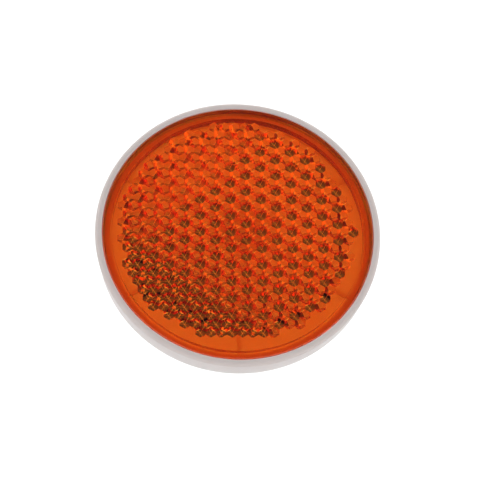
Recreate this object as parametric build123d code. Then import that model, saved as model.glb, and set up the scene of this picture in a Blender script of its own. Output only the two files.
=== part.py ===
from build123d import *

import os
from math import cos, hypot, radians, sin, sqrt

# Round bolt-on reflex reflector, in millimetres.
# The origin is the centre of the back face that sits on a panel.
# +Z points out of the lens, -Z along the stud.
# X runs along the rows of hexagonal pins.

# ---- driving dimensions ----

# housing: a cup moulded in milky white plastic
HOUSING_DIA = 84.0  # at the widest, where the lip starts to round over
DRAFT = 0.6  # the back is narrower than the lip by this much all round
LIP_STEP = 0.1  # lip below the lens face
LIP_ROUND = 0.9  # outer edge of the lip
LIP_INNER_ROUND = 0.2
BASE_ROUND = 0.6
LIP_WIDTH = 2.05  # wall thickness beside the lens
WALL = 1.9  # wall thickness below the weld rib's top
FLOOR = 1.2
BACK_RECESS = 0.6  # the floor's back stands off the panel by this much
SEAT_WIDTH = 4.0  # flat ring round the back, which sits on the panel
PAD_DIA = 20.0  # flat pad round the stud
PAD_SEAT = 1.4  # thickness of the pad under the stud's head
POCKET_WALL = 2.0  # thinnest wall round the hexagonal pocket
RIB_COUNT = 6
RIB_THICKNESS = 1.0
RIB_HEIGHT = 1.0  # above the floor
RIB_SINK = 0.5  # each end of a rib runs this far into what it meets
FIRST_RIB_ANGLE = 30.0
WELD_RIB_WIDTH = 1.3

# lens: one amber acrylic moulding
LENS_GAP = 0.1  # all round, between the lens and the lip
LENS_EDGE_ROUND = 0.3
PLATE = 1.5  # front plate, from the face to the valleys between the pins
SKIRT = 2.75  # width of the skirt under the lens's edge
SKIRT_BELOW_PINS = 0.66  # the skirt reaches further back than the pins' tips

# corner-cube pins
PIN_PITCH = 3.02  # across the flats of one hexagonal pin
FIELD_MARGIN = 2.7  # pins whose centres are this far inside the skirt are moulded
FIELD_CENTRE = (-0.3, 0.6)  # the field lies a little off the lens's centre
PIN_AT = (0.83, 0.07)  # centre of one pin near the lens's centre
BLUNT_TIP = 0.42  # height taken off the tips of the blunt pins
BED_ROOT = 0.4  # the pin bed is sunk this deep in the plate

# M5 hardware
THREAD_DIA = 5.0
THREAD_PITCH = 0.8
BOLT_LENGTH = 20.0  # under the head
BOLT_HEAD_FLATS = 8.0
BOLT_HEAD_HEIGHT = 3.5
BOLT_TIP_CHAMFER = 0.5
BOLT_HOLE_GAP = 0.1  # between the stud and the hole in the pad
HEAD_CLEARANCE = 0.46  # between the head and the tips of the pins above it
HEAD_GAP = 0.1  # between the head and each side of its pocket
NUT_FLATS = 8.0
NUT_HEIGHT = 4.0
NUT_BORE_GAP = 0.06  # running fit on the plain cylinder that stands for the thread
CORNER_CHAMFER_ANGLE = 30.0
CORNER_FACE = 0.95  # the round face left by the turned corners, against the flats
TURNING_MARGIN = 0.1  # the turned blank is wider than the hexagon's corners by this

SEAL_THICKNESS = 0.7
SEAL_WIDTH = 1.08
SEAL_BORE_GAP = 0.02
SEAL_POCKET_GAP = 0.08

WASHER_BORE_GAP = 0.15
WASHER_WIDTH = 2.35
WASHER_THICKNESS = 1.0
WASHER_EDGE = 0.2
SPRING_BORE_GAP = 0.1
SPRING_WIDTH = 2.0
SPRING_THICKNESS = 1.2
SPRING_SLIT = 0.5
SPRING_SLIT_ANGLE = 25.0
STACK_GAP = 0.05  # between the loose pieces of the stack, nut wound up

# ---- sizes that follow ----

HOUSING_R = HOUSING_DIA / 2
BASE_R = HOUSING_R - DRAFT
RECESS_R = HOUSING_R - LIP_WIDTH
LENS_R = RECESS_R - LENS_GAP
CUBE_DEPTH = PIN_PITCH / sqrt(2)  # valley to tip of a corner cube whose faces meet at right angles
HEAD_TOP = PAD_SEAT + BOLT_HEAD_HEIGHT
TIP_Z = HEAD_TOP + HEAD_CLEARANCE
VALLEY_Z = TIP_Z + CUBE_DEPTH
FACE_Z = VALLEY_Z + PLATE
LIP_TOP = FACE_Z - LIP_STEP
SKIRT_Z = TIP_Z - SKIRT_BELOW_PINS
SKIRT_R = LENS_R - SKIRT
WELD_RIB_R = SKIRT_R + (SKIRT - WELD_RIB_WIDTH) / 2
FIELD_RADIUS = SKIRT_R - FIELD_MARGIN
FLOOR_TOP = BACK_RECESS + FLOOR
THREAD_R = THREAD_DIA / 2
SEAL_BORE_R = THREAD_R + SEAL_BORE_GAP
SEAL_R = SEAL_BORE_R + SEAL_WIDTH
WASHER_BORE_R = THREAD_R + WASHER_BORE_GAP
WASHER_R = WASHER_BORE_R + WASHER_WIDTH
SPRING_BORE_R = THREAD_R + SPRING_BORE_GAP
SPRING_R = SPRING_BORE_R + SPRING_WIDTH
POCKET_FLATS = BOLT_HEAD_FLATS + 2 * HEAD_GAP
POCKET_CORNER_R = POCKET_FLATS / sqrt(3)
BOSS_R = POCKET_CORNER_R + POCKET_WALL
BOSS_TOP = TIP_Z - SKIRT_BELOW_PINS
WASHER_TOP = -STACK_GAP
SPRING_TOP = WASHER_TOP - WASHER_THICKNESS - STACK_GAP
NUT_TOP = SPRING_TOP - SPRING_THICKNESS - STACK_GAP


def ring(outer_r, inner_r, bottom, top):
    """A plain ring about the Z axis."""
    height = top - bottom
    body = extrude(Circle(outer_r) - Circle(inner_r), height)
    return Pos(0, 0, bottom) * body


def hexagon_prism(flats, bottom, top):
    """A hexagonal prism about the Z axis, with two flats facing +X and -X."""
    outline = RegularPolygon(flats / 2, 6, major_radius=False, rotation=30)
    return Pos(0, 0, bottom) * extrude(outline, top - bottom)


def corner_turning(flats, bottom, top, cut_bottom, cut_top):
    """The turned blank that takes the corners off a hexagon, at one end or at both."""
    flat_r = CORNER_FACE * flats / 2
    corner_r = flats / sqrt(3) + TURNING_MARGIN
    drop = (corner_r - flat_r) * sin(radians(CORNER_CHAMFER_ANGLE)) / cos(radians(CORNER_CHAMFER_ANGLE))
    low = [(flat_r, bottom), (corner_r, bottom + drop)] if cut_bottom else [(corner_r, bottom)]
    high = [(corner_r, top - drop), (flat_r, top)] if cut_top else [(corner_r, top)]
    outline = Polyline((0, bottom), *low, *high, (0, top), close=True)
    return revolve(Plane.XZ * make_face(outline), Axis.Z)


# ---- lens ----


def pin_layout():
    """The moulded pins, as (column, row): (x, y, kind). Kinds 0, 1 and 2 repeat along each row."""
    reach = int(2 * FIELD_RADIUS / PIN_PITCH)
    pins = {}
    for column in range(-reach, reach + 1):
        for row in range(-reach, reach + 1):
            x = PIN_AT[0] + PIN_PITCH * (column + row / 2)
            y = PIN_AT[1] + PIN_PITCH * row * sqrt(3) / 2
            if hypot(x - FIELD_CENTRE[0], y - FIELD_CENTRE[1]) <= FIELD_RADIUS:
                pins[column, row] = (x, y, (column - row + 1) % 3)
    return pins


def facet_azimuths(kind):
    """Where a pin's three facets face. One pin in three is turned by half a turn."""
    return (0, 120, 240) if kind == 0 else (60, 180, 300)


# the neighbour across each flat of a pin, by the flat's azimuth
NEIGHBOURS = {0: (1, 0), 60: (0, 1), 120: (-1, 1), 180: (-1, 0), 240: (0, -1), 300: (1, -1)}


def polygon_face(points):
    return Face(Wire.make_polygon(points, close=True))


def pin_bed():
    """All the pins as one solid on a thin root that is sunk in the plate."""
    pins = pin_layout()
    root_z = VALLEY_Z + BED_ROOT
    faces = []
    outline = {}
    for (column, row), (x, y, kind) in pins.items():

        def spot(azimuth, distance, z):
            return Vector(x + distance * cos(radians(azimuth)), y + distance * sin(radians(azimuth)), z)

        def corner(azimuth, z=VALLEY_Z):
            return spot(azimuth, PIN_PITCH / sqrt(3), z)

        def ridge_end(azimuth):
            return spot(azimuth, PIN_PITCH / 2, VALLEY_Z - CUBE_DEPTH / 2)

        facets = facet_azimuths(kind)
        blunt = kind == 2
        for facet in facets:
            if blunt:
                tip = [spot(facet + side, BLUNT_TIP * sqrt(2), TIP_Z + BLUNT_TIP) for side in (60, -60)]
            else:
                tip = [Vector(x, y, TIP_Z)]
            rim = [ridge_end(facet - 60), corner(facet - 30), corner(facet + 30), ridge_end(facet + 60)]
            faces.append(polygon_face(tip + rim))
        if blunt:
            flat = [spot(facet + 60, BLUNT_TIP * sqrt(2), TIP_Z + BLUNT_TIP) for facet in facets]
            faces.append(polygon_face(flat))
        for flat_azimuth, (columns, rows) in NEIGHBOURS.items():
            neighbour = pins.get((column + columns, row + rows))
            start, end = corner(flat_azimuth - 30), corner(flat_azimuth + 30)
            has_ridge = flat_azimuth not in facets
            ridge = [ridge_end(flat_azimuth)] if has_ridge else []
            if neighbour is None:
                root = [corner(flat_azimuth + 30, root_z), corner(flat_azimuth - 30, root_z)]
                faces.append(polygon_face([start, *ridge, end, *root]))
                outline[rounded(root[1])] = root
            elif has_ridge and (flat_azimuth + 180) % 360 in facet_azimuths(neighbour[2]):
                faces.append(polygon_face([start, *ridge, end]))
    faces.append(polygon_face(walk(outline)))
    return Solid(Shell(faces))


def rounded(point):
    return (round(point.X, 4), round(point.Y, 4))


def walk(outline):
    """The corners of a closed outline in order, from edges held as {start: [end point, start point]}."""
    first = next(iter(outline))
    corners, here = [], first
    while not corners or here != first:
        end, start = outline[here]
        corners.append(start)
        here = rounded(end)
    return corners


def make_lens():
    """Flat face, corner-cube pins behind it, and a skirt under the edge."""
    edge = LENS_EDGE_ROUND
    outline = Polyline(
        (0, VALLEY_Z),
        (SKIRT_R, VALLEY_Z),
        (SKIRT_R, SKIRT_Z),
        (LENS_R, SKIRT_Z),
        (LENS_R, FACE_Z - edge),
    )
    rim = RadiusArc((LENS_R, FACE_Z - edge), (LENS_R - edge, FACE_Z), -edge)
    closing = Polyline((LENS_R - edge, FACE_Z), (0, FACE_Z), (0, VALLEY_Z))
    body = revolve(Plane.XZ * make_face(outline + rim + closing), Axis.Z)
    return body + pin_bed()


# ---- housing ----


def make_housing():
    """A cup with a lip, a weld rib for the lens's skirt, and a hexagonal pocket for the stud's head."""
    inner = LIP_INNER_ROUND
    outer = LIP_ROUND
    base = BASE_ROUND
    lip = RadiusArc((RECESS_R, LIP_TOP - inner), (RECESS_R + inner, LIP_TOP), inner)
    lip += Line((RECESS_R + inner, LIP_TOP), (HOUSING_R - outer, LIP_TOP))
    lip += RadiusArc((HOUSING_R - outer, LIP_TOP), (HOUSING_R, LIP_TOP - outer), outer)
    lip += Line((HOUSING_R, LIP_TOP - outer), (BASE_R, base))
    lip += RadiusArc((BASE_R, base), (BASE_R - base, 0), base)
    inside = Polyline(
        (BASE_R - base, 0),
        (BASE_R - SEAT_WIDTH, 0),
        (BASE_R - SEAT_WIDTH, FLOOR_TOP),
        (BASE_R - WALL, FLOOR_TOP),
        (RECESS_R, SKIRT_Z),
        (RECESS_R, LIP_TOP - inner),
    )
    wall = revolve(Plane.XZ * make_face(lip + inside), Axis.Z)
    floor = ring(BASE_R - WALL, THREAD_R + BOLT_HOLE_GAP, BACK_RECESS, FLOOR_TOP)
    pad = ring(PAD_DIA / 2, THREAD_R + BOLT_HOLE_GAP, 0, FLOOR_TOP)
    weld_rib = ring(WELD_RIB_R + WELD_RIB_WIDTH, WELD_RIB_R, BACK_RECESS, SKIRT_Z)
    boss = ring(BOSS_R, THREAD_R + BOLT_HOLE_GAP, BACK_RECESS, BOSS_TOP)
    body = wall + floor + pad + weld_rib + boss
    rib_length = WELD_RIB_R - BOSS_R + 2 * RIB_SINK
    rib = Box(rib_length, RIB_THICKNESS, FLOOR + RIB_HEIGHT, align=(Align.MIN, Align.CENTER, Align.MIN))
    for index in range(RIB_COUNT):
        azimuth = FIRST_RIB_ANGLE + 360 / RIB_COUNT * index
        body += Rot(0, 0, azimuth) * Pos(BOSS_R - RIB_SINK, 0, BACK_RECESS) * rib
    body -= hexagon_prism(POCKET_FLATS, PAD_SEAT, FACE_Z)
    seal_recess = ring(SEAL_R + SEAL_POCKET_GAP, THREAD_R, PAD_SEAT - SEAL_THICKNESS, PAD_SEAT)
    return body - seal_recess


def at(edge, radius, height):
    """Whether a circular edge about the Z axis has this radius and height."""
    return abs(edge.radius - radius) < 1e-4 and abs(edge.center().Z - height) < 1e-4


# ---- M5 hardware ----


def make_stud_bolt():
    """Hexagon-head screw, its head up in the pocket and its thread down through the pad."""
    head = hexagon_prism(BOLT_HEAD_FLATS, PAD_SEAT, HEAD_TOP)
    head = head & corner_turning(BOLT_HEAD_FLATS, PAD_SEAT, HEAD_TOP, cut_bottom=False, cut_top=True)
    tip_z = PAD_SEAT - BOLT_LENGTH
    shank = Pos(0, 0, tip_z) * extrude(Circle(THREAD_R), BOLT_LENGTH)
    shank = chamfer(shank.edges().group_by(Axis.Z)[0], BOLT_TIP_CHAMFER)
    return head + shank


def make_stud_seal():
    """Flat rubber ring round the stud, level with the pad's seat under the head."""
    return ring(SEAL_R, SEAL_BORE_R, PAD_SEAT - SEAL_THICKNESS, PAD_SEAT)


def make_flat_washer():
    bottom = WASHER_TOP - WASHER_THICKNESS
    body = ring(WASHER_R, WASHER_BORE_R, bottom, WASHER_TOP)
    outer = [edge for edge in body.edges().filter_by(GeomType.CIRCLE) if at(edge, WASHER_R, bottom)]
    return chamfer(outer, WASHER_EDGE)


def make_spring_washer():
    """Split lock washer, pressed flat as it is under a tight nut, with its slanted slit."""
    bottom = SPRING_TOP - SPRING_THICKNESS
    body = ring(SPRING_R, SPRING_BORE_R, bottom, SPRING_TOP)
    middle_r = (SPRING_R + SPRING_BORE_R) / 2
    slit = Rot(SPRING_SLIT_ANGLE, 0, 0) * Box(2 * SPRING_R, SPRING_SLIT, 3 * SPRING_THICKNESS)
    return body - Pos(middle_r + SPRING_R / 2, 0, (bottom + SPRING_TOP) / 2) * slit


def make_hex_nut():
    bottom = NUT_TOP - NUT_HEIGHT
    body = hexagon_prism(NUT_FLATS, bottom, NUT_TOP)
    body = body & corner_turning(NUT_FLATS, bottom, NUT_TOP, cut_bottom=True, cut_top=True)
    bore = extrude(Circle(THREAD_R + NUT_BORE_GAP), NUT_HEIGHT)
    return body - Pos(0, 0, bottom) * bore


PARTS = {
    "lens": make_lens,
    "housing": make_housing,
    "stud_bolt": make_stud_bolt,
    "stud_seal": make_stud_seal,
    "flat_washer": make_flat_washer,
    "spring_washer": make_spring_washer,
    "hex_nut": make_hex_nut,
}

os.makedirs("parts", exist_ok=True)
for name, make in PARTS.items():
    solid = make()
    export_step(solid, f"parts/{name}.step")
    print(name, "volume", round(solid.volume, 1))
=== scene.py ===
"""Looks of a round bolt-on reflex reflector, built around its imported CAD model.

Everything is in metres, in the CAD model's frame: the back sits on the plane z = 0, +Z leaves the amber
face and the stud points along -Z. Each piece stands for one CAD node, takes its outer size and its place
from that node's box, and rides on that node's body.
"""

import logging
import math
from collections.abc import Callable, Iterable, Sequence
from dataclasses import dataclass
from enum import Enum
from types import TracebackType

import bmesh
import bpy
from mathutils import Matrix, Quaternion, Vector

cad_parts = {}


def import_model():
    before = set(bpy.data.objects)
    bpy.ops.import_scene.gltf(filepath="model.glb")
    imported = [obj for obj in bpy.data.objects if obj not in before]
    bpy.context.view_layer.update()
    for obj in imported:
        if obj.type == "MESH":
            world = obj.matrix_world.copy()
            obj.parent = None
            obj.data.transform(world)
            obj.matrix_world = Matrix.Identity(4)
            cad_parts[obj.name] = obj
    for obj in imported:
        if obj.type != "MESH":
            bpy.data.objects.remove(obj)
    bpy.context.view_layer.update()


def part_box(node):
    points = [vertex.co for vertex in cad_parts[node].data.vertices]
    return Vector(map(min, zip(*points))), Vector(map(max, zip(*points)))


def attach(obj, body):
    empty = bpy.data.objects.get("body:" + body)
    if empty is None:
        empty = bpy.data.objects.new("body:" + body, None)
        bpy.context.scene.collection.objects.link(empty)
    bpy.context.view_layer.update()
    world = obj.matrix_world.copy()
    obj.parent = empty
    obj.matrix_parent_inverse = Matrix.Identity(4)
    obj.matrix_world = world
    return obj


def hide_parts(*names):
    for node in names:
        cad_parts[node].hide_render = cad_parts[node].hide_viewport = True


MM = 0.001
TURN = 2 * math.pi
SPIN_STEPS = 192
RING_STEPS = 96
MERGE_DISTANCE = 0.001 * MM

Point = tuple[float, float]
Colour = tuple[float, float, float, float]

log = logging.getLogger("reflector")


# ---- colours and nodes ----


def colour(code: str) -> Colour:
    """Turns an sRGB hex code into a linear colour.

    Args:
        code: Six hex digits, such as "C8C4C0".

    Returns:
        Linear red, green, blue and an alpha of 1.
    """
    parts = [int(code[start : start + 2], 16) / 255 for start in (0, 2, 4)]
    linear = [part / 12.92 if part <= 0.04045 else ((part + 0.055) / 1.055) ** 2.4 for part in parts]
    return linear[0], linear[1], linear[2], 1.0


def add_node(
    tree: bpy.types.NodeTree, kind: str, settings: dict[str, object], **links: object
) -> bpy.types.Node:
    """Adds a node with its settings and its links.

    Args:
        tree: The node tree to add to.
        kind: The node's type, such as "ShaderNodeTexNoise".
        settings: Values by name. A name that is a property sets it, and any other name is an input socket.
        **links: Output sockets to link, by the input's name with underscores for spaces.

    Returns:
        The new node.
    """
    node = tree.nodes.new(kind)
    for name, value in settings.items():
        if hasattr(node, name):
            setattr(node, name, value)
        else:
            node.inputs[name].default_value = value
    for name, source in links.items():
        tree.links.new(source, node.inputs[name.replace("_", " ")])
    return node


def feed(tree: bpy.types.NodeTree, node: bpy.types.Node, *sources: object) -> bpy.types.Node:
    """Feeds a maths node's operands, which share one name, in order.

    Args:
        tree: The node tree.
        node: The maths node.
        *sources: For each operand, an output socket to link or a value to set.

    Returns:
        The same node.
    """
    for source, operand in zip(sources, node.inputs):
        if isinstance(source, bpy.types.NodeSocket):
            tree.links.new(source, operand)
        else:
            operand.default_value = source
    return node


def new_material(name: str) -> tuple[bpy.types.Material, bpy.types.NodeTree, bpy.types.Node]:
    """Starts a material with a single principled shader.

    Args:
        name: What the real material is called.

    Returns:
        The material, its node tree and its shader.
    """
    material = bpy.data.materials.new(name)
    material.use_nodes = True
    shader = material.node_tree.nodes["Principled BSDF"]
    return material, material.node_tree, shader


# ---- finishes ----


@dataclass(frozen=True)
class AmberAcrylic:
    """Amber acrylic, injection moulded in a polished steel tool: clear, deep orange and glossy.

    The tints and the dye are fitted to a deep amber. They aren't measured values for acrylic.
    """

    tint: str = "FFA64B"
    tint_deep: str = "FF9F44"
    dye: tuple[float, float, float] = (0.99, 0.6, 0.0)
    dye_per_metre: float = 150.0
    flow_mm: float = 9.0
    ior: float = 1.49  # acrylic
    roughness: float = 0.0

    def make(self) -> bpy.types.Material:
        """Makes the material. The slow change of tint is the moulding's flow."""
        material, tree, shader = new_material("amber_acrylic")
        place = add_node(tree, "ShaderNodeTexCoord", {})
        flow = add_node(
            tree,
            "ShaderNodeTexNoise",
            {"Scale": 1 / (self.flow_mm * MM), "Detail": 1.0},
            Vector=place.outputs["Object"],
        )
        tint = add_node(
            tree,
            "ShaderNodeMix",
            {"data_type": "RGBA"},
            Factor=flow.outputs["Fac"],
        )
        tint.inputs["A"].default_value = colour(self.tint)
        tint.inputs["B"].default_value = colour(self.tint_deep)
        tree.links.new(tint.outputs["Result"], shader.inputs["Base Color"])
        shader.inputs["Transmission Weight"].default_value = 1.0
        shader.inputs["IOR"].default_value = self.ior
        shader.inputs["Roughness"].default_value = self.roughness
        clear = {"Color": (*self.dye, 1), "Density": self.dye_per_metre}
        dye = add_node(tree, "ShaderNodeVolumeAbsorption", clear)
        tree.links.new(dye.outputs["Volume"], tree.nodes["Material Output"].inputs["Volume"])
        return material


@dataclass(frozen=True)
class MilkyPlastic:
    """Milky white styrene, moulded: light goes a little way in, so edges glow and shadows are soft."""

    # Painted shade: the body tone outside the cup is the plastic's own colour made greyer, a shaded copy of the paler
    # inside tone.
    body: str = "AFA7A5"
    body_dull: str = "A9A19F"
    # Painted light: the inside tone is paler than the body so that the cup brightens the lens from behind.
    inside: str = "F4F0EA"
    painted_light_radius_mm: float = 39.9
    painted_light_floor_mm: float = 1.3
    cloud_mm: float = 6.0
    grain_mm: float = 0.35
    roughness: float = 0.34
    ior: float = 1.55  # styrene
    depth_mm: float = 1.6

    def make(self) -> bpy.types.Material:
        """Makes the material: a faint cloud in the colour, the tool's fine grain, and a paler inside that is painted
        light.

        The paler tone is painted light, chosen to brighten the lens from behind, and the greyer body outside it is
        painted shade; nothing shows the cup's real inside.
        """
        material, tree, shader = new_material("milky_styrene")
        place = add_node(tree, "ShaderNodeTexCoord", {})
        cloud = add_node(
            tree,
            "ShaderNodeTexNoise",
            {"Scale": 1 / (self.cloud_mm * MM), "Detail": 2.0},
            Vector=place.outputs["Object"],
        )
        body = add_node(tree, "ShaderNodeMix", {"data_type": "RGBA"}, Factor=cloud.outputs["Fac"])
        body.inputs["A"].default_value = colour(self.body)
        body.inputs["B"].default_value = colour(self.body_dull)
        # Painted light and shade: within the radius and above the floor height the cup takes the paler inside tone,
        # which is painted light, and elsewhere the greyer body tone, which is painted shade.
        across = add_node(tree, "ShaderNodeVectorMath", {"operation": "MULTIPLY"})
        feed(tree, across, place.outputs["Object"], (1, 1, 0))
        radius = add_node(tree, "ShaderNodeVectorMath", {"operation": "LENGTH"})
        feed(tree, radius, across.outputs["Vector"])
        within = add_node(tree, "ShaderNodeMath", {"operation": "LESS_THAN"})
        feed(tree, within, radius.outputs["Value"], self.painted_light_radius_mm * MM)
        height = add_node(tree, "ShaderNodeSeparateXYZ", {}, Vector=place.outputs["Object"])
        above = add_node(tree, "ShaderNodeMath", {"operation": "GREATER_THAN"})
        feed(tree, above, height.outputs["Z"], self.painted_light_floor_mm * MM)
        inside = add_node(tree, "ShaderNodeMath", {"operation": "MULTIPLY"})
        feed(tree, inside, within.outputs["Value"], above.outputs["Value"])
        tone = add_node(tree, "ShaderNodeMix", {"data_type": "RGBA"}, Factor=inside.outputs["Value"])
        tree.links.new(body.outputs["Result"], tone.inputs["A"])
        tone.inputs["B"].default_value = colour(self.inside)
        tree.links.new(tone.outputs["Result"], shader.inputs["Base Color"])
        grain = add_node(
            tree,
            "ShaderNodeTexNoise",
            {"Scale": 1 / (self.grain_mm * MM), "Detail": 2.0},
            Vector=place.outputs["Object"],
        )
        bump = add_node(
            tree,
            "ShaderNodeBump",
            {"Strength": 0.05, "Distance": 0.01 * MM},
            Height=grain.outputs["Fac"],
        )
        tree.links.new(bump.outputs["Normal"], shader.inputs["Normal"])
        shader.inputs["Roughness"].default_value = self.roughness
        shader.inputs["IOR"].default_value = self.ior
        shader.inputs["Subsurface Weight"].default_value = 1.0
        shader.inputs["Subsurface Radius"].default_value = (1.0, 0.85, 0.75)
        shader.inputs["Subsurface Scale"].default_value = self.depth_mm * MM
        return material


@dataclass(frozen=True)
class ZincPlate:
    """Bright zinc plate on turned or cold-headed steel: pale grey, with a slight blue tone."""

    name: str
    metal: str = "C9CBCE"
    dull: str = "A9ACB1"
    grain_mm: float = 0.5
    roughness_low: float = 0.26
    roughness_high: float = 0.44

    def make(self) -> bpy.types.Material:
        """Makes the material: patches of crystal bloom in the plate and a fine satin bump."""
        material, tree, shader = new_material(self.name)
        place = add_node(tree, "ShaderNodeTexCoord", {})
        bloom = add_node(
            tree,
            "ShaderNodeTexNoise",
            {"Scale": 1 / (self.grain_mm * MM), "Detail": 4.0},
            Vector=place.outputs["Object"],
        )
        metal = add_node(tree, "ShaderNodeMix", {"data_type": "RGBA"}, Factor=bloom.outputs["Fac"])
        metal.inputs["A"].default_value = colour(self.metal)
        metal.inputs["B"].default_value = colour(self.dull)
        rough = add_node(
            tree,
            "ShaderNodeMapRange",
            {"To Min": self.roughness_low, "To Max": self.roughness_high},
            Value=bloom.outputs["Fac"],
        )
        bump = add_node(
            tree,
            "ShaderNodeBump",
            {"Strength": 0.15, "Distance": 0.01 * MM},
            Height=bloom.outputs["Fac"],
        )
        tree.links.new(metal.outputs["Result"], shader.inputs["Base Color"])
        tree.links.new(rough.outputs["Result"], shader.inputs["Roughness"])
        tree.links.new(bump.outputs["Normal"], shader.inputs["Normal"])
        shader.inputs["Metallic"].default_value = 1.0
        return material


@dataclass(frozen=True)
class SealRubber:
    """Black nitrile rubber, punched from sheet: dark, matt and slightly dusty."""

    rubber: str = "1C1C1D"
    dust: str = "2C2B2A"
    grain_mm: float = 0.3
    roughness: float = 0.7

    def make(self) -> bpy.types.Material:
        """Makes the material: dust in patches over a matt black."""
        material, tree, shader = new_material("nitrile_rubber")
        place = add_node(tree, "ShaderNodeTexCoord", {})
        patches = add_node(
            tree,
            "ShaderNodeTexNoise",
            {"Scale": 1 / (self.grain_mm * MM), "Detail": 3.0},
            Vector=place.outputs["Object"],
        )
        rubber = add_node(tree, "ShaderNodeMix", {"data_type": "RGBA"}, Factor=patches.outputs["Fac"])
        rubber.inputs["A"].default_value = colour(self.rubber)
        rubber.inputs["B"].default_value = colour(self.dust)
        tree.links.new(rubber.outputs["Result"], shader.inputs["Base Color"])
        shader.inputs["Roughness"].default_value = self.roughness
        return material


# ---- modelling by hand ----


class Element(Enum):
    """What edit mode selects."""

    VERT = "VERT"
    EDGE = "EDGE"
    FACE = "FACE"


def select_only(*objects: bpy.types.Object) -> None:
    """Selects these objects and no others, and makes the first one active."""
    bpy.ops.object.select_all(action="DESELECT")
    for chosen in objects:
        chosen.select_set(True)
    bpy.context.view_layer.objects.active = objects[0]


def fresh(name: str) -> bpy.types.Object:
    """Names the primitive that was just added, and applies its place to its mesh.

    Args:
        name: The object's new name.

    Returns:
        The object, at the origin.
    """
    made = bpy.context.object
    made.name = name
    made.data.name = name
    bpy.ops.object.transform_apply(location=True, rotation=True, scale=True)
    return made


class EditMode:
    """Edit mode on one object, as a with block. It starts with nothing selected."""

    def __init__(self, piece: bpy.types.Object) -> None:
        """Keeps the piece to edit."""
        self.piece = piece

    def __enter__(self) -> "EditMode":
        """Opens edit mode on the piece alone."""
        select_only(self.piece)
        bpy.ops.object.mode_set(mode="EDIT")
        bpy.ops.mesh.select_mode(type="VERT")
        bpy.ops.mesh.select_all(action="DESELECT")
        return self

    def __exit__(self, kind: type | None, error: BaseException | None, trace: TracebackType | None) -> None:
        """Goes back to object mode."""
        bpy.ops.object.mode_set(mode="OBJECT")

    def select(self, element: Element, test: Callable[[Vector], bool]) -> int:
        """Selects the elements whose middle passes a test, and nothing else.

        Args:
            element: What to select.
            test: Takes the middle of a vertex, edge or face, and says whether it is wanted.

        Returns:
            How many were selected.
        """
        bpy.ops.mesh.select_all(action="DESELECT")
        bpy.ops.mesh.select_mode(type=element.value)
        mesh = bmesh.from_edit_mesh(self.piece.data)
        count = 0
        if element is Element.VERT:
            chosen = [vert for vert in mesh.verts if test(vert.co)]
        elif element is Element.EDGE:
            chosen = [edge for edge in mesh.edges if test((edge.verts[0].co + edge.verts[1].co) / 2)]
        else:
            chosen = [face for face in mesh.faces if test(face.calc_center_median())]
        for one in chosen:
            one.select_set(True)
            count += 1
        bmesh.update_edit_mesh(self.piece.data)
        return count

    def select_open_edges(self) -> None:
        """Selects the edges that have a face on one side only."""
        bpy.ops.mesh.select_all(action="DESELECT")
        bpy.ops.mesh.select_mode(type="EDGE")
        bpy.ops.mesh.select_non_manifold(
            extend=False, use_wire=False, use_boundary=True, use_multi_face=False, use_non_contiguous=False,
            use_verts=False,
        )

    def merge_doubles(self) -> None:
        """Merges the vertices that lie on each other."""
        bpy.ops.mesh.select_all(action="SELECT")
        bpy.ops.mesh.remove_doubles(threshold=MERGE_DISTANCE)

    def face_outwards(self) -> None:
        """Turns every face of a closed piece outwards."""
        bpy.ops.mesh.select_all(action="SELECT")
        bpy.ops.mesh.normals_make_consistent(inside=False)


def arc(centre: Point, radius: float, start: float, end: float, steps: int = 6) -> list[Point]:
    """The points of an arc in a profile.

    Args:
        centre: The arc's centre, as radius and height.
        radius: The arc's own radius.
        start: The first point's angle in degrees, from outwards towards +Z.
        end: The last point's angle in degrees.
        steps: How many straight pieces make the arc.

    Returns:
        The points, first and last included.
    """
    angles = [math.radians(start + (end - start) * step / steps) for step in range(steps + 1)]
    return [(centre[0] + radius * math.cos(a), centre[1] + radius * math.sin(a)) for a in angles]


def lathe(name: str, profile: Sequence[Point], steps: int = SPIN_STEPS, closed: bool = True) -> bpy.types.Object:
    """Turns a profile about the Z axis, as on a lathe.

    Args:
        name: The new object's name.
        profile: The profile's points, as radius and height in metres.
        steps: How many facets go round.
        closed: Whether the profile's last point joins its first.

    Returns:
        The new object, with its doubles merged.
    """
    points = [*profile, profile[0]] if closed else list(profile)
    bpy.ops.object.select_all(action="DESELECT")
    bpy.ops.mesh.primitive_circle_add(vertices=3, radius=MM, location=(points[0][0], 0, points[0][1]))
    made = fresh(name)
    with EditMode(made) as edit:
        bpy.ops.mesh.select_all(action="SELECT")
        bpy.ops.mesh.merge(type="CENTER")
        for here, there in zip(points, points[1:]):
            step = (there[0] - here[0], 0, there[1] - here[1])
            bpy.ops.mesh.extrude_vertices_move(TRANSFORM_OT_translate={"value": step})
        edit.merge_doubles()
        bpy.ops.mesh.select_all(action="SELECT")
        bpy.ops.mesh.spin(steps=steps, angle=TURN, center=(0, 0, 0), axis=(0, 0, 1))
        edit.merge_doubles()
        edit.face_outwards()
    return made


class Cut(Enum):
    """How one solid works on another."""

    AWAY = "DIFFERENCE"
    TO = "INTERSECT"
    TOGETHER = "UNION"


def combine(piece: bpy.types.Object, tool: bpy.types.Object, cut: Cut) -> None:
    """Cuts a piece with a tool, or joins the two, and removes the tool.

    Args:
        piece: The solid that stays.
        tool: The solid that is used up.
        cut: What the tool does.
    """
    select_only(piece)
    boolean = piece.modifiers.new("combine", "BOOLEAN")
    boolean.operation = cut.value
    boolean.solver = "EXACT"
    boolean.object = tool
    bpy.ops.object.modifier_apply(modifier=boolean.name)
    mesh = tool.data
    bpy.data.objects.remove(tool)
    bpy.data.meshes.remove(mesh)


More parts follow.
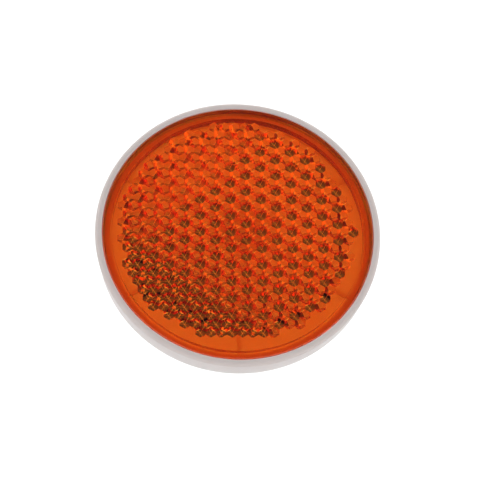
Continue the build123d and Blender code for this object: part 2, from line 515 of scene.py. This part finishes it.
def soften(piece: bpy.types.Object, width: float, segments: int = 1, corner: float = 30) -> None:
    """Rounds a piece's sharp edges a little, as on any moulded or tumbled part.

    Args:
        piece: The piece.
        width: The bevel's width in metres.
        segments: How many faces the bevel has.
        corner: Edges that turn by more degrees than this are rounded.
    """
    select_only(piece)
    bevel = piece.modifiers.new("soften", "BEVEL")
    bevel.width = width
    bevel.segments = segments
    bevel.limit_method = "ANGLE"
    bevel.angle_limit = math.radians(corner)
    bevel.harden_normals = False
    bpy.ops.object.modifier_apply(modifier=bevel.name)


def prism(name: str, flats: float, bottom: float, top: float) -> bpy.types.Object:
    """A hexagonal prism about Z with flats facing +X and -X.

    Args:
        name: The new object's name.
        flats: Distance between opposite flats.
        bottom: Lower end's height.
        top: Upper end's height.

    Returns:
        The new object.
    """
    bpy.ops.object.select_all(action="DESELECT")
    bpy.ops.mesh.primitive_cylinder_add(
        vertices=6, radius=flats / math.sqrt(3), depth=top - bottom, location=(0, 0, (bottom + top) / 2)
    )
    return fresh(name)


def dress(
    piece: bpy.types.Object, finish: bpy.types.Material, body: str, node: str, smooth: float = 25
) -> bpy.types.Object:
    """Finishes a piece: its shading, material, body and the CAD node that it stands for.

    Args:
        piece: The piece, modelled and in place.
        finish: Its material.
        body: The CAD body that it rides on.
        node: The CAD node that it stands for.
        smooth: Edges that turn by fewer degrees than this are shaded smooth.

    Returns:
        The piece.
    """
    select_only(piece)
    bpy.ops.object.shade_smooth_by_angle(angle=math.radians(smooth))
    piece.data.materials.clear()
    piece.data.materials.append(finish)
    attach(piece, body)
    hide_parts(node)
    low, high = (min(v.co.z for v in piece.data.vertices), max(v.co.z for v in piece.data.vertices))
    log.info("%s: %d faces, z %.2f to %.2f mm", piece.name, len(piece.data.polygons), low / MM, high / MM)
    return piece


# ---- lens ----


class Pin(Enum):
    """The three kinds of corner-cube pin that repeat along each row, by where their facets face in degrees."""

    AHEAD = (0, 120, 240)
    TURNED = (60, 180, 300)
    BLUNT = (60.0, 180.0, 300.0, 1.0)


@dataclass
class Lens:
    """The amber lens: a polished flat face, hexagonal corner-cube pins behind it, and a skirt under its edge."""

    plate: float = 1.5 * MM
    skirt: float = 2.75 * MM
    edge: float = 0.3 * MM
    pitch: float = 3.02 * MM
    field_margin: float = 2.7 * MM
    field_centre: Point = (-0.3 * MM, 0.6 * MM)
    pin_at: Point = (0.83 * MM, 0.07 * MM)
    blunt: float = 0.42 * MM
    ridge: float = 0.07 * MM

    def __post_init__(self) -> None:
        """Takes the outer sizes from the CAD lens."""
        low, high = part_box("lens")
        self.radius = high.x
        self.face_z = high.z
        self.foot_z = low.z
        self.valley_z = self.face_z - self.plate
        self.depth = self.pitch / math.sqrt(2)
        self.field = self.radius - self.skirt - self.field_margin

    def build(self, finish: bpy.types.Material) -> bpy.types.Object:
        """Models the lens as one closed moulding.

        Args:
            finish: The lens's material.

        Returns:
            The finished piece.
        """
        bed = self.pin_bed()
        body = self.plate_and_skirt()
        select_only(body, bed)
        bpy.ops.object.join()
        with EditMode(body) as edit:
            valley = self.valley_z
            edit.select_open_edges()
            mesh = bmesh.from_edit_mesh(body.data)
            for edge in mesh.edges:
                level = all(abs(vert.co.z - valley) < MERGE_DISTANCE for vert in edge.verts)
                edge.select_set(edge.is_boundary and level)
            bmesh.update_edit_mesh(body.data)
            bpy.ops.mesh.fill(use_beauty=True)
            edit.merge_doubles()
            edit.face_outwards()
        body.name = "amber_lens"
        return dress(body, finish, "reflector", "lens")

    def plate_and_skirt(self) -> bpy.types.Object:
        """The face and the skirt, turned, and still open towards the pins."""
        inner = self.radius - self.skirt
        rim = (self.radius - self.edge, self.face_z - self.edge)
        profile = [
            (inner, self.valley_z),
            (inner, self.foot_z),
            (self.radius, self.foot_z),
            *arc(rim, self.edge, 0, 90),
        ]
        made = lathe("plate_and_skirt", profile, closed=False)
        with EditMode(made) as edit:
            edit.select(Element.VERT, lambda at: at.z > self.face_z - MERGE_DISTANCE)
            bpy.ops.mesh.edge_face_add()
            edit.select(Element.FACE, lambda at: at.z > self.face_z - MERGE_DISTANCE)
            bpy.ops.mesh.inset(thickness=self.edge)
        return made

    def layout(self) -> Iterable[tuple[Pin, float, float]]:
        """The pins of the field, as kind and place."""
        kinds = list(Pin)
        reach = int(2 * self.field / self.pitch)
        for column in range(-reach, reach + 1):
            for row in range(-reach, reach + 1):
                x = self.pin_at[0] + self.pitch * (column + row / 2)
                y = self.pin_at[1] + self.pitch * row * math.sqrt(3) / 2
                if math.hypot(x - self.field_centre[0], y - self.field_centre[1]) <= self.field:
                    yield kinds[(column - row + 1) % 3], x, y

    def pin_bed(self) -> bpy.types.Object:
        """All the pins, merged, closed between each other, and levelled round the field's edge."""
        masters = {kind: self.pin(kind) for kind in Pin}
        copies = []
        for kind, x, y in self.layout():
            copy = masters[kind].copy()
            copy.data = masters[kind].data.copy()
            copy.location = (x, y, 0)
            bpy.context.collection.objects.link(copy)
            copies.append(copy)
        for master in masters.values():
            bpy.data.objects.remove(master)
        select_only(*copies)
        bpy.ops.object.join()
        bed = bpy.context.object
        bpy.ops.object.transform_apply(location=True)
        log.info("pin bed: %d pins", len(copies))
        with EditMode(bed) as edit:
            edit.merge_doubles()
            edit.select_open_edges()
            bpy.ops.mesh.fill_holes(sides=4)
            edit.select_open_edges()
            bpy.ops.mesh.extrude_edges_move()
            bpy.ops.transform.resize(value=(1, 1, 0), center_override=(0, 0, self.valley_z))
            edit.merge_doubles()
        return bed

    def pin(self, kind: Pin) -> bpy.types.Object:
        """Models one corner-cube pin as an open shell, standing on its hexagon.

        Args:
            kind: Which of the three kinds.

        Returns:
            The pin, centred on the Z axis.
        """
        facets = kind.value[:3]
        corner = self.pitch / math.sqrt(3)
        bpy.ops.object.select_all(action="DESELECT")
        bpy.ops.mesh.primitive_circle_add(
            vertices=6, radius=corner, fill_type="NGON", location=(0, 0, self.valley_z)
        )
        made = fresh("pin")

        def on_ridge(at: Vector) -> bool:
            """Whether a place lies on one of the three lines under the ridges."""
            azimuth = math.degrees(math.atan2(at.y, at.x)) % 360
            return any(abs((azimuth - facet - 60 + 180) % 360 - 180) < 1 for facet in facets)

        def distance(at: Vector) -> float:
            """How far a place is from the pin's axis."""
            return math.hypot(at.x, at.y)

        with EditMode(made) as edit:
            edit.select(Element.EDGE, on_ridge)
            bpy.ops.mesh.subdivide(number_cuts=1)
            bpy.ops.mesh.select_all(action="SELECT")
            bpy.ops.mesh.poke()
            edit.select(Element.VERT, lambda at: distance(at) < MERGE_DISTANCE)
            bpy.ops.transform.translate(value=(0, 0, -self.depth))
            edit.select(Element.VERT, lambda at: abs(distance(at) - self.pitch / 2) < MERGE_DISTANCE)
            bpy.ops.transform.translate(value=(0, 0, -self.depth / 2))
            edit.select(Element.EDGE, lambda at: abs(distance(at) - corner / 2) < MERGE_DISTANCE)
            bpy.ops.mesh.dissolve_edges(use_verts=False)
            if kind is Pin.BLUNT:
                bpy.ops.mesh.select_all(action="SELECT")
                tip = self.valley_z - self.depth + self.blunt
                bpy.ops.mesh.bisect(
                    plane_co=(0, 0, tip), plane_no=(0, 0, -1), clear_outer=True, use_fill=True, threshold=1e-7
                )
            inner, outer = 0.1 * self.pitch, 0.45 * self.pitch
            edit.select(Element.EDGE, lambda at: on_ridge(at) and inner < distance(at) < outer)
            bpy.ops.mesh.bevel(offset_type="WIDTH", offset=self.ridge, segments=1, affect="EDGES")
        return made


# ---- housing ----


@dataclass
class Housing:
    """The milky white cup: a rounded lip, a drafted wall, a stiffened floor and the pocket for the stud's head."""

    lip_width: float = 2.05 * MM
    lip_round: float = 0.9 * MM
    lip_inner_round: float = 0.2 * MM
    base_narrower: float = 0.6 * MM
    base_round: float = 0.6 * MM
    wall: float = 1.9 * MM
    floor: float = 1.2 * MM
    back_recess: float = 0.6 * MM
    seat_width: float = 4.0 * MM
    pad: float = 10.0 * MM
    pad_seat: float = 1.4 * MM
    boss_wall: float = 2.0 * MM
    pocket_flats: float = 8.2 * MM
    rib_edge: float = 0.15 * MM
    rib_sink: float = 0.5 * MM
    first_rib_angle: float = 30.0
    shank_hole: float = 2.6 * MM
    seal_recess: Point = (3.68 * MM, 0.7 * MM)
    weld_rib: Point = (37.825 * MM, 39.125 * MM)
    rib_count: int = 6
    rib_thickness: float = 1.0 * MM
    rib_height: float = 1.0 * MM

    def __post_init__(self) -> None:
        """Takes the outer sizes from the CAD housing and the lens's foot from the CAD lens."""
        _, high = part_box("housing")
        self.radius = high.x
        self.lip_z = high.z
        self.rib_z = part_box("lens")[0].z

    def build(self, finish: bpy.types.Material) -> bpy.types.Object:
        """Models the housing: the turned cup, then its ribs, then its pocket.

        Args:
            finish: The housing's material.

        Returns:
            The finished piece.
        """
        cup = self.cup()
        boss = self.boss_radius()
        for index in range(self.rib_count):
            combine(cup, self.rib(index, boss), Cut.TOGETHER)
        combine(cup, prism("pocket", self.pocket_flats, self.pad_seat, 2 * self.lip_z), Cut.AWAY)
        cup.name = "white_housing"
        return dress(cup, finish, "reflector", "housing")

    def boss_radius(self) -> float:
        """Outer radius of the boss round the hexagonal pocket."""
        return self.pocket_flats / math.sqrt(3) + self.boss_wall

    def cup(self) -> bpy.types.Object:
        """Everything on the housing that is round: lip, wall, floor, weld rib, pad and boss."""
        base = self.radius - self.base_narrower
        recess = self.radius - self.lip_width
        inner = base - self.wall
        floor_z = self.back_recess + self.floor
        seal_radius, seal_depth = self.seal_recess
        profile = [
            (base - self.seat_width, 0),
            *arc((base - self.base_round, self.base_round), self.base_round, -90, 0, 4),
            *arc((self.radius - self.lip_round, self.lip_z - self.lip_round), self.lip_round, 0, 90, 8),
            *arc((recess + self.lip_inner_round, self.lip_z - self.lip_inner_round), self.lip_inner_round, 90, 180, 4),
            (recess, self.rib_z),
            (inner, floor_z),
            (self.weld_rib[1], floor_z),
            (self.weld_rib[1], self.rib_z),
            (self.weld_rib[0], self.rib_z),
            (self.weld_rib[0], floor_z),
            (self.boss_radius(), floor_z),
            (self.boss_radius(), self.rib_z),
            (seal_radius, self.rib_z),
            (seal_radius, self.pad_seat - seal_depth),
            (self.shank_hole, self.pad_seat - seal_depth),
            (self.shank_hole, 0),
            (self.pad, 0),
            (self.pad, self.back_recess),
            (base - self.seat_width, self.back_recess),
        ]
        return lathe("cup", profile)

    def rib(self, index: int, boss: float) -> bpy.types.Object:
        """One radial rib between the boss and the weld rib.

        Args:
            index: Which rib, counted round.
            boss: The boss's outer radius.

        Returns:
            The rib, a little sunk into all that it meets.
        """
        azimuth = TURN * index / self.rib_count + math.radians(self.first_rib_angle)
        start, end = boss - self.rib_sink, self.weld_rib[0] + self.rib_sink
        low, high = self.back_recess + 0.5 * self.floor, self.back_recess + self.floor + self.rib_height
        middle = (start + end) / 2
        bpy.ops.object.select_all(action="DESELECT")
        bpy.ops.mesh.primitive_cube_add(
            size=1,
            location=(middle * math.cos(azimuth), middle * math.sin(azimuth), (low + high) / 2),
            rotation=(0, 0, azimuth),
            scale=(end - start, self.rib_thickness, high - low),
        )
        made = fresh("rib")
        with EditMode(made) as edit:
            edit.select(Element.VERT, lambda at: at.z > high - MERGE_DISTANCE)
            bpy.ops.mesh.bevel(offset=self.rib_edge, segments=1, affect="EDGES")
        return made


# ---- M5 hardware ----


@dataclass
class Fasteners:
    """The stud, its seal, and the washers and the nut on it."""

    thread: float = 2.5 * MM
    thread_pitch: float = 0.8 * MM
    thread_depth: float = 0.49 * MM
    tip: float = 0.5 * MM
    corner_angle: float = 30.0
    corner_face: float = 0.475
    turning_margin: float = 0.1 * MM
    edge: float = 0.12 * MM
    nut_edge: float = 0.06 * MM
    seal_gap: float = 0.02 * MM
    washer_gap: float = 0.15 * MM
    spring_gap: float = 0.1 * MM
    slit: float = 0.5 * MM
    slit_angle: float = 25.0
    slit_height: float = 4.0 * MM
    nut_gap: float = 0.06 * MM
    nut_mouth: float = 0.35 * MM
    cutter_past: float = 0.5 * MM

    def turned_corners(self, flats: float, bottom: float, top: float, both: bool) -> bpy.types.Object:
        """The turned blank that takes the corners off a hexagon.

        Args:
            flats: Distance between the hexagon's flats.
            bottom: The hexagon's lower end.
            top: The hexagon's upper end.
            both: Whether the lower end is turned too.

        Returns:
            The blank.
        """
        flat = self.corner_face * flats
        corner = flats / math.sqrt(3) + self.turning_margin
        drop = (corner - flat) * math.tan(math.radians(self.corner_angle))
        low = [(flat, bottom), (corner, bottom + drop)] if both else [(corner, bottom)]
        profile = [(0, bottom), *low, (corner, top - drop), (flat, top), (0, top)]
        return lathe("blank", profile, 64, closed=False)

    def threaded_rod(self, bottom: float, top: float) -> bpy.types.Object:
        """A rod with a rolled right-hand thread and a chamfered lower end.

        Args:
            bottom: The rod's lower end.
            top: The rod's upper end.

        Returns:
            The rod, closed at both ends.
        """
        pitch, root = self.thread_pitch, self.thread - self.thread_depth
        turns = math.ceil((top - bottom) / pitch) + 3
        crest = self.thread
        points = [(root, 0), (root, pitch / 4), (crest, pitch * 9 / 16), (crest, pitch * 11 / 16), (root, pitch)]
        bpy.ops.object.select_all(action="DESELECT")
        start = bottom - 1.5 * pitch
        bpy.ops.mesh.primitive_circle_add(vertices=3, radius=MM, location=(points[0][0], 0, start))
        rod = fresh("rod")
        with EditMode(rod):
            bpy.ops.mesh.select_all(action="SELECT")
            bpy.ops.mesh.merge(type="CENTER")
            for here, there in zip(points, points[1:]):
                step = (there[0] - here[0], 0, there[1] - here[1])
                bpy.ops.mesh.extrude_vertices_move(TRANSFORM_OT_translate={"value": step})
        screw = rod.modifiers.new("thread", "SCREW")
        screw.angle = TURN
        screw.screw_offset = pitch
        screw.iterations = turns
        screw.steps = screw.render_steps = 40
        screw.use_merge_vertices = True
        screw.merge_threshold = MERGE_DISTANCE
        select_only(rod)
        bpy.ops.object.modifier_apply(modifier=screw.name)
        with EditMode(rod) as edit:
            edit.merge_doubles()
            for height, way in ((bottom, -1), (top, 1)):
                bpy.ops.mesh.select_all(action="SELECT")
                bpy.ops.mesh.bisect(
                    plane_co=(0, 0, height), plane_no=(0, 0, way), clear_outer=True, use_fill=True, threshold=1e-7
                )
            edit.merge_doubles()
            edit.face_outwards()
        blank = lathe(
            "blank",
            [(0, bottom), (crest - self.tip, bottom), (crest, bottom + self.tip), (crest, top), (0, top)],
            80,
            closed=False,
        )
        combine(rod, blank, Cut.TO)
        return rod

    def stud(self, finish: bpy.types.Material) -> bpy.types.Object:
        """The hexagon-head screw, with its head up in the housing's pocket.

        Args:
            finish: The screw's material.

        Returns:
            The finished piece.
        """
        low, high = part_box("stud_bolt")
        flats = high.x - low.x
        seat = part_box("stud_seal")[1].z
        head = prism("zinc_stud", flats, seat, high.z)
        combine(head, self.turned_corners(flats, seat, high.z, both=False), Cut.TO)
        combine(head, self.threaded_rod(low.z, seat + self.thread), Cut.TOGETHER)
        return dress(head, finish, "reflector", "stud_bolt")

    def flat_ring(self, name: str, bore: float, low: Vector, high: Vector) -> bpy.types.Object:
        """A plain turned ring that fills a CAD ring's box.

        Args:
            name: The new object's name.
            bore: The hole's radius.
            low: The box's lower corner.
            high: The box's upper corner.

        Returns:
            The ring.
        """
        profile = [(bore, low.z), (high.x, low.z), (high.x, high.z), (bore, high.z)]
        return lathe(name, profile, RING_STEPS)

    def seal(self, finish: bpy.types.Material) -> bpy.types.Object:
        """The rubber ring under the stud's head.

        Args:
            finish: The ring's material.

        Returns:
            The finished piece.
        """
        low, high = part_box("stud_seal")
        ring = self.flat_ring("rubber_seal", self.thread + self.seal_gap, low, high)
        soften(ring, self.edge)
        return dress(ring, finish, "reflector", "stud_seal")

    def flat_washer(self, finish: bpy.types.Material) -> bpy.types.Object:
        """The punched washer, with rolled edges.

        Args:
            finish: The washer's material.

        Returns:
            The finished piece.
        """
        low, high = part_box("flat_washer")
        ring = self.flat_ring("zinc_flat_washer", self.thread + self.washer_gap, low, high)
        soften(ring, self.edge)
        return dress(ring, finish, "washers", "flat_washer")

    def spring_washer(self, finish: bpy.types.Material) -> bpy.types.Object:
        """The split lock washer, pressed flat.

        Args:
            finish: The washer's material.

        Returns:
            The finished piece.
        """
        low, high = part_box("spring_washer")
        bore = self.thread + self.spring_gap
        ring = self.flat_ring("zinc_spring_washer", bore, low, high)
        middle = (bore + high.x) / 2
        bpy.ops.object.select_all(action="DESELECT")
        bpy.ops.mesh.primitive_cube_add(
            size=1,
            location=(middle + high.x / 2, 0, (low.z + high.z) / 2),
            rotation=(math.radians(self.slit_angle), 0, 0),
            scale=(2 * high.x, self.slit, self.slit_height),
        )
        combine(ring, fresh("slit"), Cut.AWAY)
        soften(ring, self.edge)
        return dress(ring, finish, "washers", "spring_washer")

    def nut(self, finish: bpy.types.Material) -> bpy.types.Object:
        """The hexagon nut, with turned corners and a countersunk bore.

        Args:
            finish: The nut's material.

        Returns:
            The finished piece.
        """
        low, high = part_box("hex_nut")
        flats = high.x - low.x
        made = prism("zinc_nut", flats, low.z, high.z)
        combine(made, self.turned_corners(flats, low.z, high.z, both=True), Cut.TO)
        bore, mouth = self.thread + self.nut_gap, self.thread + self.nut_mouth
        sink = mouth - bore
        past = self.cutter_past
        profile = [
            (0, low.z - past),
            (mouth + past, low.z - past),
            (bore, low.z + sink),
            (bore, high.z - sink),
            (mouth + past, high.z + past),
            (0, high.z + past),
        ]
        combine(made, lathe("bore", profile, RING_STEPS, closed=False), Cut.AWAY)
        soften(made, self.nut_edge)
        return dress(made, finish, "nut", "hex_nut")


# ---- studio ----


@dataclass
class Studio:
    """A pale floor, plain soft light all round, and the camera."""

    floor_size: float = 6.0
    floor_drop: float = 0.35
    floor_tone: str = "F2F2F2"
    walls: float = 1.5
    flag: str = "505050"
    flag_edge: Point = (9.0, 15.0)
    aim: Vector = Vector((0.4166 * MM, -3.1406 * MM, 0))
    azimuth: float = -8.814
    elevation: float = 66.765
    roll: float = 8.632
    distance: float = 484.15 * MM
    focal_mm: float = 124.05

    def build(self) -> None:
        """Makes the floor, the light and the camera."""
        self.make_floor()
        self.make_light()
        self.make_camera()

    def back(self) -> Vector:
        """The direction from the object to the camera."""
        a, e = math.radians(self.azimuth), math.radians(self.elevation)
        return Vector((math.sin(a) * math.cos(e), -math.cos(a) * math.cos(e), math.sin(e)))

    def make_floor(self) -> None:
        """A wide pale floor, well below a part that a panel holds up by its back."""
        bpy.ops.object.select_all(action="DESELECT")
        bpy.ops.mesh.primitive_plane_add(size=self.floor_size, location=(0, 0, -self.floor_drop))
        floor = fresh("floor")
        material, tree, shader = new_material("painted_board")
        place = add_node(tree, "ShaderNodeTexCoord", {})
        mottle = add_node(
            tree, "ShaderNodeTexNoise", {"Scale": 8.0, "Detail": 1.0}, Vector=place.outputs["Object"]
        )
        tone = add_node(tree, "ShaderNodeMix", {"data_type": "RGBA"}, Factor=mottle.outputs["Fac"])
        tone.inputs["A"].default_value = colour(self.floor_tone)
        tone.inputs["B"].default_value = colour("F0F0F0")
        tree.links.new(tone.outputs["Result"], shader.inputs["Base Color"])
        shader.inputs["Roughness"].default_value = 0.9
        shader.inputs["Specular IOR Level"].default_value = 0.0
        floor.data.materials.append(material)

    def make_light(self) -> None:
        """Soft white light from all round, with two dark flags that keep glare off the polished face."""
        world = bpy.data.worlds.new("studio")
        bpy.context.scene.world = world
        world.use_nodes = True
        tree = world.node_tree
        sky = tree.nodes["Background"]
        place = add_node(tree, "ShaderNodeTexCoord", {})
        away = self.back()
        spots = []
        for middle in (away, Vector((-away.x, -away.y, away.z))):
            toward = add_node(tree, "ShaderNodeVectorMath", {"operation": "DOT_PRODUCT"})
            feed(tree, toward, place.outputs["Generated"], middle)
            spots.append(toward.outputs["Value"])
        nearest = add_node(tree, "ShaderNodeMath", {"operation": "MAXIMUM"})
        feed(tree, nearest, *spots)
        light = add_node(
            tree,
            "ShaderNodeMapRange",
            {
                "interpolation_type": "SMOOTHSTEP",
                "From Min": math.cos(math.radians(self.flag_edge[1])),
                "From Max": math.cos(math.radians(self.flag_edge[0])),
            },
            Value=nearest.outputs["Value"],
        )
        tone = add_node(tree, "ShaderNodeMix", {"data_type": "RGBA"}, Factor=light.outputs["Result"])
        tone.inputs["A"].default_value = (1, 1, 1, 1)
        tone.inputs["B"].default_value = colour(self.flag)
        tree.links.new(tone.outputs["Result"], sky.inputs["Color"])
        sky.inputs["Strength"].default_value = self.walls

    def make_camera(self) -> None:
        """The camera looks down at the face with a long lens, turned a little about its own axis."""
        aim = Vector((self.aim.x, self.aim.y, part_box("lens")[1].z))
        data = bpy.data.cameras.new("camera")
        camera = bpy.data.objects.new("camera", data)
        bpy.context.collection.objects.link(camera)
        camera.location = aim + self.back() * self.distance
        look = (-self.back()).to_track_quat("-Z", "Y")
        camera.rotation_mode = "QUATERNION"
        camera.rotation_quaternion = look @ Quaternion((0, 0, 1), math.radians(self.roll))
        data.lens = self.focal_mm
        data.sensor_width = 36
        data.clip_start = 0.01
        data.clip_end = 100
        bpy.context.scene.camera = camera


def set_light_paths() -> None:
    """Lets light take the many inner reflections that corner cubes need, and keeps colours as they are."""
    scene = bpy.context.scene
    scene.cycles.max_bounces = 24
    scene.cycles.glossy_bounces = 12
    scene.cycles.transmission_bounces = 24
    scene.view_settings.view_transform = "Standard"


def main() -> None:
    """Builds every piece around the frame."""
    logging.basicConfig(level=logging.INFO, format="%(message)s")
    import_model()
    Studio().build()
    set_light_paths()
    Lens().build(AmberAcrylic().make())
    Housing().build(MilkyPlastic().make())
    fasteners = Fasteners()
    fasteners.stud(ZincPlate("zinc_plated_screw").make())
    fasteners.seal(SealRubber().make())
    washer = ZincPlate("zinc_plated_washer").make()
    fasteners.flat_washer(washer)
    fasteners.spring_washer(washer)
    fasteners.nut(ZincPlate("zinc_plated_nut").make())
    bpy.context.view_layer.update()


if __name__ == "__main__":
    main()
